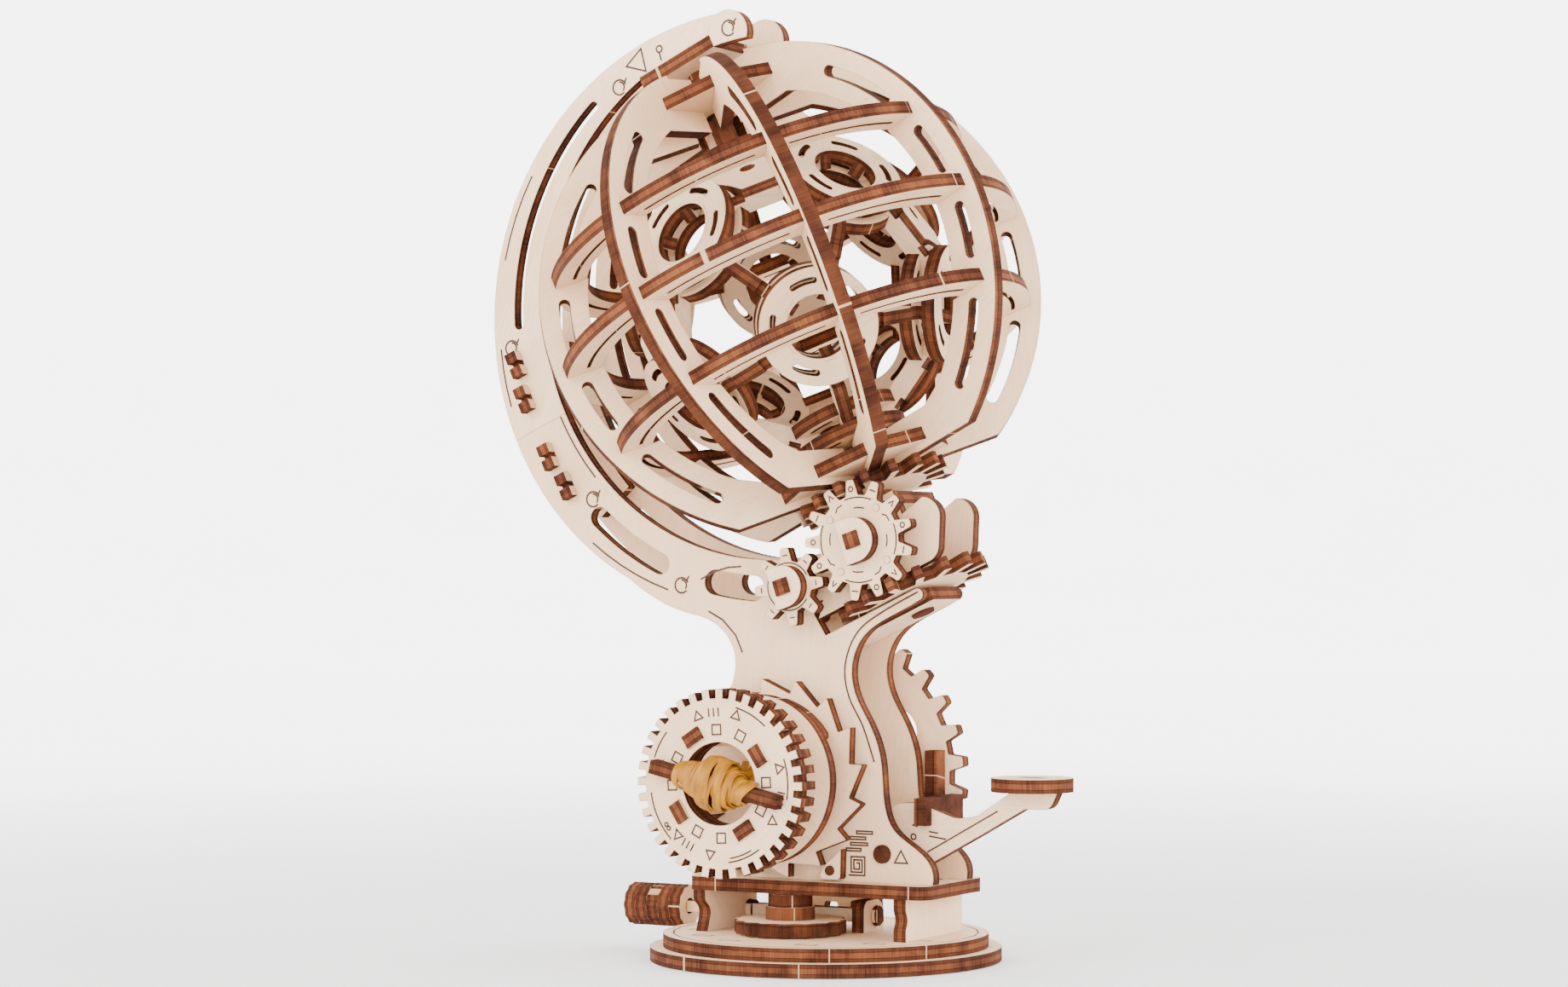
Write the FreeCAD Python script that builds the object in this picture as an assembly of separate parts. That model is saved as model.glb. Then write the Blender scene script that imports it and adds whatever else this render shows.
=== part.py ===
import FreeCAD, Part
import math
import os

# Mechanical skeleton globe cut from sheet wood: a globe cage with a counter-turning core inside it,
# carried on a tilted axis between two C-shaped frames on a round base, driven by a rubber-band drum.
# Millimetres. +Z up, X along the frames, -Y towards the winding wheel, origin under the base centre.

# ---- driving dimensions ----
T = 4.0                      # sheet thickness
RUN = 0.08                   # radial clearance of a turning shaft
# base
BASE_R = 52.5                # lower disc
STEP_R = 48.6                # upper disc
DECK_Z = 20.5                # underside of the raised deck
BASE_TOP = 2 * T
DECK_TOP = DECK_Z + T
# frames
FRAME_IN = 9.2               # inner face of each frame plate from the middle plane
FRAME_OUT = FRAME_IN + T
GX, GZ = -12.0, 199.0        # globe centre
TILT = 25.0                  # lean of the globe axis to the left
ARC_X, ARC_Z, ARC_R = -19.8, 193.6, 90.3   # outer edge of the C
BORE_R = 80.0                # inner edge of the C, about the globe centre
CAGE_CLEAR = 77.0            # nothing of the frames comes closer to the globe centre
SEAM = 204.7                 # direction of the joint between the two frame pieces
# globe cage
MER_R = 75.7                 # outer radius of the meridians
MER_IN = 61.0                # inner radius of the meridians
MER_FIRST = -9.5             # direction of the first meridian about the axis
EQ_R, EQ_IN = 72.7, 61.0     # equator ring
LAT_R, LAT_IN, LAT_H = 66.0, 56.0, 27.4    # two smaller rings
HUB_FLAT = 25.0              # centre to flat of the eight-sided pole plates
HUB_TOP, HUB_LOW = 61.0, -61.0             # undersides of the pole plates
ARM_LOW = -63.2              # lower end of the cage
ARM_TOP = 72.0
# core
CORE_R = 49.0                # outer face of the core hubs
CORE_RING, CORE_EYE = 17.5, 9.4
PLATE_IN = 41.0              # inner face of the core's face plates from the core centre
CORE_TURN = -60.0            # direction of one lower hub about the axis
CORE_DROP = 2.5              # core centre below the globe centre, along the axis
# gears
N_BIG, N_PINION = 28, 9
N_SMALL, N_GEAR = 8, 13
N_CROWN = 16
GEAR_TIP, GEAR_ROOT = 17.7, 13.1
SMALL_TIP, SMALL_ROOT = 11.6, 7.6
BIG_TIP, BIG_ROOT = 44.2, 39.6
PINION_TIP, PINION_ROOT = 15.4, 11.6
CROWN_TIP, CROWN_ROOT = 23.3, 16.6
CROWN_UP, CROWN_DOWN = -65.7, -98.1        # middle planes of the two crown wheels
S2_D = 81.9                  # second shaft below the globe centre, along the axis
S1X, S1Z = -0.6, 111.1       # first shaft
GEAR_FRONT = -22.0           # front face of the two front gears
BIG_Y = 19.5                 # front face of the rear gears
AXLE_R = 3.2
CAP_TURN = -18.0             # lean of the front shaft ends and their locking plates
CORE_AXLE = 3.5
# drum
DX, DZ = -8.0, 54.5          # drum axis
WHEEL_R, WHEEL_ROOT, WHEEL_EYE = 27.3, 24.6, 12.0
N_WHEEL = 36
RATCHET_R, RATCHET_ROOT, N_RATCHET = 29.7, 25.4, 16
RATCHET_POINT = 9.0          # direction of one ratchet tip
RATCHET_Y = -17.2            # front face of the ratchet wheel and the pawl
PAWL_X, PAWL_Z, PAWL_R = 10.6, 27.9, 1.4
PAD_Z = 51.8                 # underside of the start lever's round pad

os.makedirs("parts", exist_ok=True)
V = FreeCAD.Vector
X_AXIS, Y_AXIS, Z_AXIS = V(1, 0, 0), V(0, 1, 0), V(0, 0, 1)
NODES = {}


def cs(deg):
    return math.cos(math.radians(deg))


def sn(deg):
    return math.sin(math.radians(deg))


def polar(r, deg, cx=0.0, cy=0.0):
    return (cx + r * cs(deg), cy + r * sn(deg))


def turned(shape, axis, deg, about=V(0, 0, 0)):
    out = shape.copy()
    out.rotate(about, axis, deg)
    return out


def moved(shape, x=0.0, y=0.0, z=0.0):
    out = shape.copy()
    out.translate(V(x, y, z))
    return out


def cyl(r, z0, z1, x=0.0, y=0.0):
    return Part.makeCylinder(r, z1 - z0, V(x, y, z0))


def tube(ro, ri, z0, z1, x=0.0, y=0.0):
    return cyl(ro, z0, z1, x, y).cut(cyl(ri, z0 - 1, z1 + 1, x, y))


def box(x0, x1, y0, y1, z0, z1):
    return Part.makeBox(x1 - x0, y1 - y0, z1 - z0, V(x0, y0, z0))


def slab(points, z0, z1):
    wire = Part.makePolygon([V(x, y, z0) for x, y in points + [points[0]]])
    return Part.Face(wire).extrude(V(0, 0, z1 - z0))


def soft_wire(corners, z=0.0):
    """A closed outline from (x, y, corner radius) entries."""
    n = len(corners)
    ends = []
    for i in range(n):
        x, y, r = corners[i]
        px, py = corners[i - 1][0], corners[i - 1][1]
        qx, qy = corners[(i + 1) % n][0], corners[(i + 1) % n][1]
        a = V(px - x, py - y, 0)
        b = V(qx - x, qy - y, 0)
        la, lb = a.Length, b.Length
        a.normalize()
        b.normalize()
        half = a.getAngle(b) / 2
        if r <= 0 or half < 0.01 or abs(half - math.pi / 2) < 0.01:
            ends.append((V(x, y, z), None, V(x, y, z)))
            continue
        cut = min(r / math.tan(half), 0.48 * la, 0.48 * lb)
        r = cut * math.tan(half)
        middle = a + b
        middle.normalize()
        centre = V(x, y, z) + middle * (r / math.sin(half))
        ends.append((V(x, y, z) + a * cut, centre - middle * r, V(x, y, z) + b * cut))
    edges = []
    for i in range(n):
        start, mid, stop = ends[i]
        if mid is not None:
            edges.append(Part.Arc(start, mid, stop).toShape())
        nxt = ends[(i + 1) % n][0]
        if (nxt - stop).Length > 1e-6:
            edges.append(Part.LineSegment(stop, nxt).toShape())
    return Part.Wire(edges)


def soft(corners, z0, z1):
    return Part.Face(soft_wire(corners, z0)).extrude(V(0, 0, z1 - z0))


def arc_slot(rc, width, a0, a1, z0, z1, cx=0.0, cy=0.0):
    """A curved slot with round ends, its middle line on radius rc."""
    h = width / 2
    p = [V(*polar(rc + h, a, cx, cy), z0) for a in (a0, (a0 + a1) / 2, a1)]
    q = [V(*polar(rc - h, a, cx, cy), z0) for a in (a1, (a0 + a1) / 2, a0)]
    over = math.degrees(h / rc)
    e1 = V(*polar(rc, a1 + over, cx, cy), z0)
    e0 = V(*polar(rc, a0 - over, cx, cy), z0)
    edges = [
        Part.Arc(p[0], p[1], p[2]).toShape(),
        Part.Arc(p[2], e1, q[0]).toShape(),
        Part.Arc(q[0], q[1], q[2]).toShape(),
        Part.Arc(q[2], e0, p[0]).toShape(),
    ]
    return Part.Face(Part.Wire(edges)).extrude(V(0, 0, z1 - z0))


def sector(ro, ri, a0, a1, z0, z1, cx=0.0, cy=0.0):
    """A plain piece of a ring."""
    mid = (a0 + a1) / 2
    edges = [
        Part.Arc(*[V(*polar(ro, a, cx, cy), z0) for a in (a0, mid, a1)]).toShape(),
        Part.LineSegment(V(*polar(ro, a1, cx, cy), z0), V(*polar(ri, a1, cx, cy), z0)).toShape(),
        Part.Arc(*[V(*polar(ri, a, cx, cy), z0) for a in (a1, mid, a0)]).toShape(),
        Part.LineSegment(V(*polar(ri, a0, cx, cy), z0), V(*polar(ro, a0, cx, cy), z0)).toShape(),
    ]
    return Part.Face(Part.Wire(edges)).extrude(V(0, 0, z1 - z0))


def gear(n, tip, root, tip_w, root_w, z0, z1, start=0.0, r_tip=0.8, r_root=0.5):
    """A sheet gear with tapered, round-cornered teeth; one tooth points along start."""
    corners = []
    for k in range(n):
        a = start + 360.0 * k / n
        hb = math.degrees(math.asin(root_w / 2 / root))
        ht = math.degrees(math.asin(tip_w / 2 / tip))
        corners.append((*polar(root, a - hb), r_root))
        corners.append((*polar(tip, a - ht), r_tip))
        corners.append((*polar(tip, a + ht), r_tip))
        corners.append((*polar(root, a + hb), r_root))
    return soft(corners, z0, z1)


def spline(points, z=0.0):
    """A smooth open edge through hand-set outline points."""
    curve = Part.BSplineCurve()
    curve.interpolate([V(x, y, z) for x, y in points])
    return curve.toShape()


def lines(points, z=0.0):
    return [Part.LineSegment(V(*a, z), V(*b, z)).toShape() for a, b in zip(points, points[1:])]


def fused(shapes):
    out = shapes[0]
    for s in shapes[1:]:
        out = out.fuse(s)
    return out.removeSplitter()


def upright(shape, back):
    """Stand a flat-drawn sheet up in the frames' direction: drawn y becomes z, thickness towards -Y."""
    out = turned(shape, X_AXIS, 90)
    out.translate(V(0, back, 0))
    return out


def tilted(shape):
    """From the globe's own frame (axis up, origin at its centre) to the whole object's."""
    out = turned(shape, Y_AXIS, -TILT)
    out.translate(V(GX, 0, GZ))
    return out


def axis_point(d, across=0.0):
    """Point (x, z) of the middle plane, d below the globe centre along its axis."""
    return (GX + d * sn(TILT) + across * cs(TILT), GZ - d * cs(TILT) + across * sn(TILT))


def node(name, *shapes):
    NODES[name] = Part.makeCompound([s for shape in shapes for s in shape.Solids])


S2X, S2Z = axis_point(S2_D)

# ---- base ----
node("base_disc_lower", cyl(BASE_R, 0, T))
base_pin = (-5.5, -12.0)
node("base_disc_upper", cyl(STEP_R, T, 2 * T))

deck = soft([(-37, -19, 4), (43, -19, 4), (43, 20, 4), (28, 20, 2), (28, 13.8, 2), (-37, 13.8, 4)],
            DECK_Z, DECK_TOP)
tab_slots = [box(x - 4, x + 4, s * 11.2 - T / 2, s * 11.2 + T / 2, DECK_Z - 1, DECK_TOP + 1)
             for x in (-26, 2, 32) for s in (-1, 1)]
bracket_tabs_l = [box(-35, -31, y - 3, y + 3, DECK_Z - 1, DECK_TOP + 1) for y in (-6.5,)]
bracket_tabs_r = [box(31.5, 35.5, y - 3, y + 3, DECK_Z - 1, DECK_TOP + 1) for y in (-2.5, 5.0)]
for cutter in tab_slots + bracket_tabs_l + bracket_tabs_r:
    deck = deck.cut(cutter)
node("deck", deck)

# ---- frames: drawn flat in (x, z), then stood up ----
top_end = (-26.5, 277.5)


def arc_band(t):
    band = cyl(ARC_R, 0, t, ARC_X, ARC_Z)
    return band.cut(cyl(BORE_R, -1, t + 1, GX, GZ))


def frame_upper(t):
    keep = slab([(ARC_X, ARC_Z), polar(200, SEAM, ARC_X, ARC_Z), (-300, 250), (-120, 330),
                 (top_end[0] + 0.5, 330), (top_end[0] + 0.5, 250)], 0, t)
    body = arc_band(t).common(keep)
    pad = [axis_point(-d, a) for d, a in ((79.6, -13), (79.6, 14), (84, 17), (86.5, -13))]
    body = body.fuse([cyl(6.8, 0, t, *top_end), slab(pad, 0, t)]).removeSplitter()
    seat = [axis_point(-d, a) for d, a in ((70, -13), (79.6, -13), (79.6, 14), (70, 14))]
    body = body.cut(slab(seat, -1, t + 1)).cut(cyl(CAGE_CLEAR, -1, t + 1, GX, GZ))
    body = body.cut(arc_slot(84.0, 3.2, 132.6, 182.8, -1, t + 1, -17.0, 196.0))
    for u, v in clip_spots[:2]:
        body = body.cut(clip_slot(u, v, t))
    return body


def clip_slot(u, v, t):
    """The slot that one splice clip passes through, square to the seam."""
    return moved(turned(box(-2, 2, -3, 3, -1, t + 1), Z_AXIS, SEAM - 180), u, v)


clip_spots = [polar(BORE_R + 11.2, a, GX, GZ) for a in (192.5, 199.5, 212.0, 219.0)]
notch_low = CROWN_DOWN - T / 2 - 0.7
notch_high = CROWN_DOWN + T / 2 + 0.7


# outer edges of the stand, as (x, z), from the shoulder to the deck and from the deck to the ring
WAIST_RIGHT = [(38.6, 107.6), (27.2, 101.8), (19.5, 96.3), (15.9, 88), (16.9, 79.8), (21.6, 71), (25.4, 60.5),
               (26.3, 50), (29.3, 40.6), (36, 35.4), (41.2, 30.8), (42.3, DECK_TOP)]
WAIST_LEFT = [(-38.5, DECK_TOP), (-38, 31), (-33.5, 39), (-32.2, 50), (-31.5, 62), (-28.5, 73), (-24.6, 82.5),
              (-23.8, 90), (-27.4, 97.2), (-34, 101.4), (-42, 103.4), (-51, 107.0), (-60, 112.6)]


def frame_lower(t):
    keep = slab([(ARC_X, ARC_Z), polar(200, SEAM, ARC_X, ARC_Z), (-150, 60), (29, 60), (29, 150)], 0, t)
    band = arc_band(t).common(keep)
    # stand with its waist, shoulder and feet
    nose = axis_point(-notch_low, 6.5)
    inside = [axis_point(-notch_low, -26), (0, 108), (-6, 116), (-40, 118), WAIST_LEFT[-1]]
    outline = [spline(WAIST_RIGHT), *lines([WAIST_RIGHT[-1], WAIST_LEFT[0]]), spline(WAIST_LEFT)]
    outline += lines(inside[::-1] + [nose])
    outline.append(Part.Arc(V(*nose, 0), V(39.0, 109.5, 0), V(*WAIST_RIGHT[0], 0)).toShape())
    stand = Part.Face(Part.Wire(outline)).extrude(V(0, 0, t))
    ear = soft([(*axis_point(-notch_high, -26), 0), (*axis_point(-notch_high, 17.5), 5),
                (45, 137.5, 6.5), (32, 137, 2), (10, 122, 0)], 0, t)
    lobe = slab([axis_point(d, a) for d, a in ((71.5, -12), (71.5, 12), (93, 12), (93, -12))], 0, t)
    body = band.fuse([stand, ear]).cut(cyl(BORE_R, -1, t + 1, GX, GZ)).fuse(lobe)
    notch = slab([axis_point(d, a) for d, a in ((-notch_low, -26), (-notch_low, 60),
                                                (-notch_high, 60), (-notch_high, -26))], -1, t + 1)
    body = body.cut(notch).removeSplitter()
    # shaft holes, long slots, dowel hole
    for x, z, r in ((S2X, S2Z, AXLE_R), (S1X, S1Z, AXLE_R), (DX, DZ, CORE_AXLE)):
        body = body.cut(cyl(r + RUN, -1, t + 1, x, z))
    body = body.cut(cyl(2.7, -1, t + 1, 26.0, 33.0))
    body = body.cut(arc_slot(89.6, 6.4, 228.5, 245.0, -1, t + 1, GX, GZ))
    body = body.cut(arc_slot(88.7, 7.6, 258.0, 266.5, -1, t + 1, GX, GZ))
    for u, v in clip_spots[2:]:
        body = body.cut(clip_slot(u, v, t))
    feet = [box(x - 4, x + 4, DECK_Z, DECK_TOP, 0, t) for x in (-26, 2, 32)]
    return body.fuse(feet).removeSplitter()


upper, lower = frame_upper(T), frame_lower(T)
node("frame_front_upper", upright(upper, -FRAME_IN))
node("frame_back_upper", upright(upper, FRAME_OUT))
back_lower = upright(lower, FRAME_OUT)
front_lower = upright(lower, -FRAME_IN)
pawl_pin_hole = moved(turned(cyl(PAWL_R, -30, 30), X_AXIS, 90), PAWL_X, 0, PAWL_Z)
front_lower = front_lower.cut(pawl_pin_hole)
node("frame_front_lower", front_lower)
node("frame_back_lower", back_lower)

# splice plates behind the seams, and the clips that hold them
splice = sector(BORE_R + 17.0, BORE_R + 3.2, 188.0, 223.5, 0, T, GX, GZ)
for u, v in clip_spots:
    splice = splice.cut(clip_slot(u, v, T))
node("splice_plates", upright(splice, -FRAME_IN + T), upright(splice, FRAME_IN))


def clip(u, v, y0, y1):
    """A notched clip: a flat tongue through both sheets with a wider head at each end."""
    tongue = box(-2, 2, -3, 3, 0, 2 * T)
    head = box(-2, 2, -4, -0.8, 2 * T, 2 * T + 3).fuse(box(-2, 2, 0.8, 4, 2 * T, 2 * T + 3))
    piece = tongue.fuse(head).removeSplitter()
    piece = moved(turned(piece, Z_AXIS, SEAM - 180), u, v)
    if y0 < 0:
        return upright(piece, y1)
    return turned(upright(piece, 0), X_AXIS, 0).mirror(V(0, 0, 0), Y_AXIS).translated(V(0, y0, 0))


clips = []
for u, v in clip_spots:
    clips.append(clip(u, v, -FRAME_OUT, -FRAME_IN + T))
    clips.append(clip(u, v, FRAME_IN - T, FRAME_OUT))
node("splice_clips", *clips)

# plates that carry the globe between the frames
top_bearing = box(-13, 14, -FRAME_OUT, FRAME_OUT, 75.6, 79.6).cut(cyl(CORE_AXLE + RUN, 70, 90))
mid_bearing = box(-12, 12, -FRAME_IN, FRAME_IN, -75.5, -71.5).cut(cyl(5.5 + RUN, -90, -60))
low_bearing = box(-24, 9, -FRAME_IN, FRAME_IN, -105.2, -101.2).cut(cyl(CORE_AXLE + RUN, -120, -90))
node("bearing_plates", tilted(top_bearing), tilted(mid_bearing), tilted(low_bearing))

# cross dowels between the frames
cross = []
for x, z in ((-6.0, 102.5), (-17.5, 90.0), (-15.0, 34.0)):
    cross.append(moved(turned(cyl(2.7, -FRAME_IN, FRAME_IN), X_AXIS, 90), x, 0, z))
lever_pin = moved(turned(cyl(2.7, -FRAME_OUT - 1, FRAME_OUT + 1), X_AXIS, 90), 26.0, 0, 33.0)
pawl_pin = moved(turned(cyl(PAWL_R, 0, 8.6), X_AXIS, -90), PAWL_X, -17.8, PAWL_Z)
wheel_pin = cyl(2.6, BASE_TOP, DECK_Z, *base_pin)
node("dowels_and_pins", *cross, lever_pin, pawl_pin, wheel_pin)

# brackets between base and deck
bracket_l = soft([(-17, BASE_TOP, 0), (9, BASE_TOP, 0), (13, BASE_TOP + 5, 5), (13, DECK_Z, 0),
                  (-18.5, DECK_Z, 0), (-18.5, 17.5, 2), (-14.5, 14.5, 3)], 0, T)
bracket_l = bracket_l.fuse(box(-9.5, -3.5, DECK_Z, DECK_TOP, 0, T)).removeSplitter()
bracket_l = bracket_l.cut(cyl(3.0 + RUN, -1, T + 1, 8.5, 12.6))


def side_on(shape, x0):
    """Stand a flat-drawn sheet across the frames: drawn x becomes y, drawn y becomes z."""
    out = turned(turned(shape, X_AXIS, 90), Z_AXIS, 90)
    out.translate(V(x0, 0, 0))
    return out


node("bracket_left", side_on(bracket_l, -35))
bracket_r = soft([(-17, BASE_TOP, 0), (20, BASE_TOP, 0), (20, DECK_Z, 0), (-17, DECK_Z, 0),
                  (-17, 17, 2), (-15.5, 14.2, 3), (-17, 11.5, 2)], 0, T)
bracket_r = bracket_r.fuse([box(-5.5, 0.5, DECK_Z, DECK_TOP, 0, T), box(2.0, 8.0, DECK_Z, DECK_TOP, 0, T)])
node("bracket_right", side_on(bracket_r.removeSplitter(), 31.5))
support = soft([(0.5, BASE_TOP, 0), (13, BASE_TOP, 0), (13, 17.5, 4), (0.5, 17.5, 3)], 0, T)
support = support.cut(cyl(3.0 + RUN, -1, T + 1, 8.5, 12.6))
node("shaft_support", side_on(support, 8.5))

# ---- knob and its shaft, along X ----
knob_layers = []
for k in range(5):
    rim = []
    for i in range(12):
        a = 30.0 * i + 3.0 * (k % 2)
        rim.append((*polar(6.7, a), 1.2))
        rim.append((*polar(6.2, a + 15), 1.2))
    layer = soft(rim, 0, T - 0.15)
    knob_layers.append(layer.cut(cyl(2.4, -1, T + 1)))
knob = [moved(turned(s, Y_AXIS, 90), -72.0 + k * T, 8.5, 12.6) for k, s in enumerate(knob_layers)]
node("knob_layers", *knob)
shaft = fused([box(-72.5, -36, 6.8, 10.2, 10.9, 14.3), box(-36, 14, 6.5, 10.5, 10.6, 14.6).common(
    moved(turned(cyl(3.0, 0, 50), Y_AXIS, 90), -36, 8.5, 12.6))])
journals = [moved(turned(cyl(3.0, a, b), Y_AXIS, 90), 0, 8.5, 12.6) for a, b in ((-38, -29), (7.5, 13.5))]
node("knob_shaft", shaft.fuse(journals).removeSplitter())

# ---- scalloped wheel under the deck, about Z ----
rim = []
for i in range(16):
    rim.append((*polar(17.0, 22.5 * i), 1.4))
    rim.append((*polar(15.2, 22.5 * i + 11.25), 1.8))
wheel = soft(rim, 8.6, 12.6).cut(cyl(2.6 + RUN, 0, 30))
hub = fused([tube(7.3, 2.6 + RUN, 12.6, 16.4), tube(6.6, 2.6 + RUN, 16.4, 20.1)])
node("scallop_wheel", moved(wheel, *base_pin), moved(hub, *base_pin))


# ---- shafts and gears ----
def along_y(shape, x, z, y0=0.0):
    """Flat-drawn part with its drawn axis turned to Y: thickness runs from y0 towards +Y."""
    out = turned(shape, X_AXIS, -90)
    out.translate(V(x, y0, z))
    return out


def gear_y(n, tip, root, tip_w, root_w, x, z, y0, point, bore, thick=T):
    """A gear about Y with one tooth pointing in the (x, z) direction given in degrees."""
    flat = gear(n, tip, root, tip_w, root_w, 0, thick, -point)
    return along_y(flat.cut(cyl(bore, -1, thick + 1)), x, z, y0)


to_s2 = math.degrees(math.atan2(S2Z - S1Z, S2X - S1X))
to_s1 = math.degrees(math.atan2(S1Z - DZ, S1X - DX))
# at rest a tooth of the followed gear points at the other gear's gap
SMALL_POINT = to_s2 + 180.0 / N_SMALL
GEAR_POINT = to_s2 + 180
PINION_POINT = to_s1 + 180 + 180.0 / N_PINION
BIG_POINT = to_s1

big = gear_y(N_BIG, BIG_TIP, BIG_ROOT, 2.8, 5.0, DX, DZ, BIG_Y, BIG_POINT, CORE_AXLE)
for k in range(6):
    px, pz = polar(24.5, 60 * k + 30, DX, DZ)
    big = big.cut(along_y(cyl(7.4, -1, T + 1), px, pz, BIG_Y))
node("big_gear", big)
node("main_axle", along_y(cyl(CORE_AXLE, 0, 66), DX, DZ, -40.0),
     along_y(tube(7.5, CORE_AXLE, 0, BIG_Y - FRAME_OUT - 0.4), DX, DZ, FRAME_OUT + 0.4),
     along_y(tube(8.0, CORE_AXLE, 0, 2.2), DX, DZ, BIG_Y + T))

pinion = gear_y(N_PINION, PINION_TIP, PINION_ROOT, 3.0, 5.4, S1X, S1Z, BIG_Y, PINION_POINT, AXLE_R)
node("pinion", pinion)
node("shaft_1", along_y(cyl(AXLE_R, 0, BIG_Y + 26.2), S1X, S1Z, GEAR_FRONT),
     along_y(turned(box(-2.3, 2.3, -2.3, 2.3, 0, 5), Z_AXIS, CAP_TURN), S1X, S1Z, GEAR_FRONT - 5))
small = gear_y(N_SMALL, SMALL_TIP, SMALL_ROOT, 2.6, 4.0, S1X, S1Z, GEAR_FRONT, SMALL_POINT, AXLE_R)
node("front_gear_small", small)
large = gear_y(N_GEAR, GEAR_TIP, GEAR_ROOT, 2.4, 4.0, S2X, S2Z, GEAR_FRONT, GEAR_POINT, AXLE_R)
for k in range(4):
    px, pz = polar(11.0, 90 * k + 58, S2X, S2Z)
    large = large.cut(along_y(cyl(1.1, -1, T + 1), px, pz, GEAR_FRONT))
node("shaft_2", along_y(cyl(AXLE_R, 0, 16.8), S2X, S2Z, GEAR_FRONT),
     along_y(turned(box(-2.3, 2.3, -2.3, 2.3, 0, 5), Z_AXIS, CAP_TURN), S2X, S2Z, GEAR_FRONT - 5))


def d_cap(r):
    """D-shaped locking plate with a square hole."""
    flat = cyl(r, 0, T).common(box(-20, 20, -r * 0.62, 20, -1, T + 1))
    flat = flat.fuse(box(-r, r, -r * 0.62, 0, 0, T)).removeSplitter()
    return turned(flat.cut(box(-2.3, 2.3, -2.3, 2.3, -1, T + 1)), Z_AXIS, CAP_TURN - 90)


def washer_y(r, bore, y0, y1, x, z):
    return along_y(tube(r, bore, 0, y1 - y0), x, z, y0)


node("shaft_1_caps", along_y(d_cap(6.2), S1X, S1Z, GEAR_FRONT - T),
     washer_y(5.6, AXLE_R, GEAR_FRONT + T, -FRAME_OUT - 0.4, S1X, S1Z),
     washer_y(5.6, AXLE_R, FRAME_OUT + 0.4, BIG_Y, S1X, S1Z))
node("shaft_2_caps", along_y(d_cap(6.6), S2X, S2Z, GEAR_FRONT - T),
     washer_y(5.6, AXLE_R, GEAR_FRONT + T, -FRAME_OUT - 0.4, S2X, S2Z))
plugs = []
for k in range(4):
    px, pz = polar(11.0, 90 * k + 58, S2X, S2Z)
    plugs.append(along_y(cyl(1.1, 0, T + 0.2), px, pz, GEAR_FRONT - 0.2))
node("front_gear_large", large, *plugs)

# ---- winding drum, about Y ----


def toothed_wheel(y0, shift):
    corners = []
    step = 360.0 / N_WHEEL
    for k in range(N_WHEEL):
        a = step * k + shift
        corners += [(*polar(WHEEL_ROOT, a - step * 0.27), 0), (*polar(WHEEL_R, a - step * 0.25), 0),
                    (*polar(WHEEL_R, a + step * 0.25), 0), (*polar(WHEEL_ROOT, a + step * 0.27), 0)]
    flat = soft(corners, 0, T).cut(cyl(WHEEL_EYE, -1, T + 1))
    for k in range(4):
        flat = flat.cut(turned(box(13.6, 17.6, -3, 3, -1, T + 1), Z_AXIS, 90 * k - 33))
    return flat


front_wheel = toothed_wheel(0, 0.0)
bar_cut = turned(box(-21.5, 21.5, -2, 2, -1, T + 1), Z_AXIS, 12.5)
node("winding_wheel_front", along_y(front_wheel.cut(bar_cut), DX, DZ, -50))
node("winding_wheel_rear", along_y(toothed_wheel(0, 0.0), DX, DZ, -46))
disc = cyl(25.0, 0, T).cut(cyl(CORE_AXLE + RUN, -1, T + 1))
ratchet_corners = []
for k in range(N_RATCHET):
    a = 360.0 * k / N_RATCHET - RATCHET_POINT
    ratchet_corners += [(*polar(RATCHET_ROOT, a - 1.6), 0.4), (*polar(RATCHET_R, a), 0.3)]
ratchet = soft(ratchet_corners, 0, T - 0.4).cut(cyl(CORE_AXLE + RUN, -1, T + 1))
for k in range(4):
    hole = turned(box(13.6, 17.6, -3, 3, -1, T + 1), Z_AXIS, 90 * k - 33)
    disc = disc.cut(hole)
    ratchet = ratchet.cut(hole)
node("drum_disc", along_y(disc, DX, DZ, -29))
node("ratchet_wheel", along_y(ratchet, DX, DZ, RATCHET_Y))
bars = [along_y(turned(box(13.6, 17.6, -3, 3, 0, 37.4), Z_AXIS, 90 * k - 33), DX, DZ, -51) for k in range(4)]
cross_bar = box(-21.5, 21.5, -2, 2, 0, 8)
cross_bar = along_y(turned(cross_bar, Z_AXIS, 12.5), DX, DZ, -54).cut(Part.makeCompound(bars))
node("cross_bar", cross_bar)
# the bands wind round the bar as a spindle and run back along the drum to the axle
half_profile = [(-11.4, 0), (-11.4, 4.6), (-9, 6.4), (-4, 8.2), (0, 8.5), (4, 7.8), (8, 6.4), (11.4, 4.4), (11.4, 0)]
outline = Part.Face(Part.makePolygon([V(x, y, 0) for x, y in half_profile + [half_profile[0]]]))
spindle = moved(outline.revolve(V(0, 0, 0), X_AXIS, 360), 0, 0, 2.5)
tail = tube(6.4, 4.2, 5.0, 20.0)
bundle = along_y(turned(spindle.fuse(tail), Z_AXIS, 12.5), DX, DZ, -54).cut(cross_bar)
node("rubber_bands", bundle.cut(along_y(cyl(4.2, 0, 66), DX, DZ, -40.4)))
leaf = arc_slot(23.0, 3.0, -75, -35, 0, T)
node("drum_bars", *bars, along_y(leaf, DX, DZ, -25))

# ---- pawl on the front frame ----
pawl = soft([(7.4, 25.3, 1), (14.0, 25.3, 1), (14.3, 36, 0.5), (12.5, 36, 0.5), (9.5, 30, 1), (7.4, 27.2, 0.6)], 0, T - 0.4)
pawl = pawl.cut(cyl(RATCHET_R + 0.4, -1, T + 1, DX, DZ)).cut(cyl(PAWL_R + RUN, -1, T + 1, PAWL_X, PAWL_Z))
node("pawl", upright(pawl, RATCHET_Y + T - 0.4))

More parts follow.
